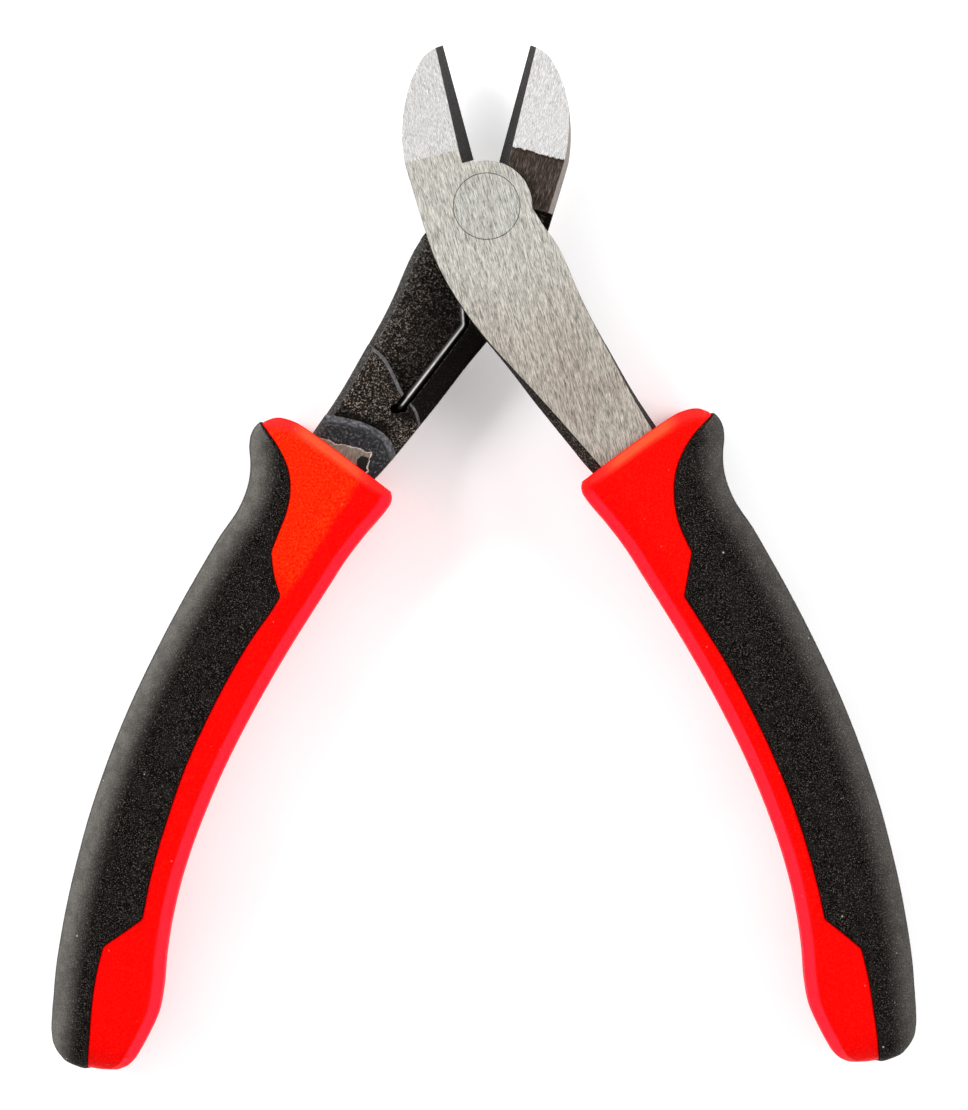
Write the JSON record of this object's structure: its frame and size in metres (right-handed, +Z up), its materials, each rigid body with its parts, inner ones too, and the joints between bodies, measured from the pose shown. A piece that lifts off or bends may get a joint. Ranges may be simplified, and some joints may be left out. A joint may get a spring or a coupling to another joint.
{
  "type": "diagonal cutting pliers",
  "caption": "Spring-opened side-cutting pliers, lap-joint steel halves on a flush rivet, two-colour grips.",
  "frame": {"origin": "on the pivot axis, in the flat ground underside of the head (the flush lower rivet head)", "axes": "+Z up along the pivot axis, out of the head's upper face; +Y towards the jaw tips, halving the open angle; +X to the side of the rear half's jaw"},
  "size_m": [0.1193, 0.1421, 0.0137],
  "materials": {
    "front_steel": "ground satin faces, black oxide flanks",
    "rear_steel": "ground satin faces, black oxide lap side",
    "rivet_steel": "ground flush",
    "spring_wire": "bright drawn wire",
    "front_core_plastic": "red, fine satin grain",
    "rear_core_plastic": "red, fine satin grain",
    "front_over_rubber": "black, soft matt",
    "rear_over_rubber": "black, soft matt"
  },
  "bodies": {
    "rear": {"rear_half": "rear_steel", "return_spring": "spring_wire", "rear_grip_core": "rear_core_plastic", "rear_grip_overmold": "rear_over_rubber"},
    "front": {"front_half": "front_steel", "pivot_rivet": "rivet_steel", "front_grip_core": "front_core_plastic", "front_grip_overmold": "front_over_rubber"}
  },
  "joints": [
    {"name": "pivot", "type": "hinge", "parent": "rear", "child": "front", "pos_m": [0, 0, 0.0045], "axis": [0, 0, -1], "range_deg": [-1, 30], "deforming": ["return_spring"]}
  ]
}
